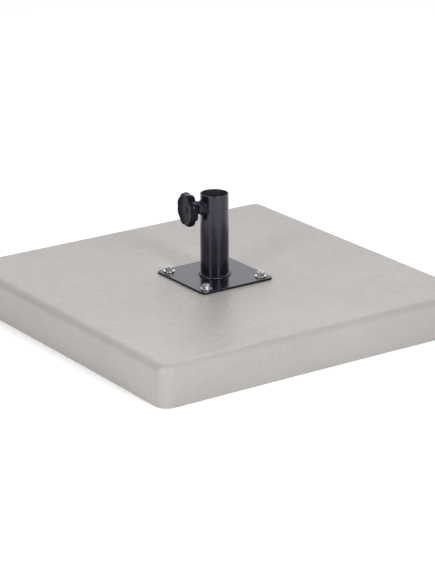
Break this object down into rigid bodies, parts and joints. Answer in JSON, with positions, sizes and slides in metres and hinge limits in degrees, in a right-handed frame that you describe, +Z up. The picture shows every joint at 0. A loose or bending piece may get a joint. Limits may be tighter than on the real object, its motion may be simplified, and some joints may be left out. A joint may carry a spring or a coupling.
{
  "type": "parasol base",
  "caption": "Square cast-concrete parasol base with a bolted steel flange plate and a welded upright socket tube, clamped by a lobed hand knob on a screw.",
  "frame": {"origin": "centre of the slab's underside, on the ground", "axes": "+Z up along the socket tube's axis; X and Y along the slab's sides; the clamp knob is on the -X side, turned 8 degrees towards +Y"},
  "size_m": [0.7, 0.7, 0.2518],
  "materials": {
    "concrete": "satin",
    "black_paint": "satin",
    "zinc_steel": "satin",
    "blackened_steel": "satin",
    "black_plastic": "satin",
    "nylon": "matte"
  },
  "bodies": {
    "base": {"slab": "concrete", "flange_plate": "black_paint", "socket_tube": "black_paint", "tube_weld_bead": "black_paint", "clamp_nut": "black_paint", "clamp_nut_weld": "black_paint", "anchor_bolt_front_left": "zinc_steel", "washer_front_left": "zinc_steel", "nut_front_left": "zinc_steel", "anchor_bolt_front_right": "zinc_steel", "washer_front_right": "zinc_steel", "nut_front_right": "zinc_steel", "anchor_bolt_back_right": "zinc_steel", "washer_back_right": "zinc_steel", "nut_back_right": "zinc_steel", "anchor_bolt_back_left": "zinc_steel", "washer_back_left": "zinc_steel", "nut_back_left": "zinc_steel"},
    "pressure_pad": {"pressure_pad": "nylon"},
    "clamp_knob": {"clamp_screw": "blackened_steel", "clamp_knob": "black_plastic"}
  },
  "joints": [
    {"name": "clamp_advance", "type": "slide", "parent": "base", "child": "pressure_pad", "axis": [0.9903, -0.1392, 0], "range_m": [-0.01051, 0.00089]},
    {"name": "clamp_turn", "type": "hinge", "parent": "pressure_pad", "child": "clamp_knob", "pos_m": [0, 0, 0.2203], "axis": [0.9903, -0.1392, 0], "range_deg": [-2160, 180]}
  ],
  "couplings": [
    {"joint": "clamp_advance", "follows": "clamp_turn", "m_per_rad": 0.00027852}
  ]
}
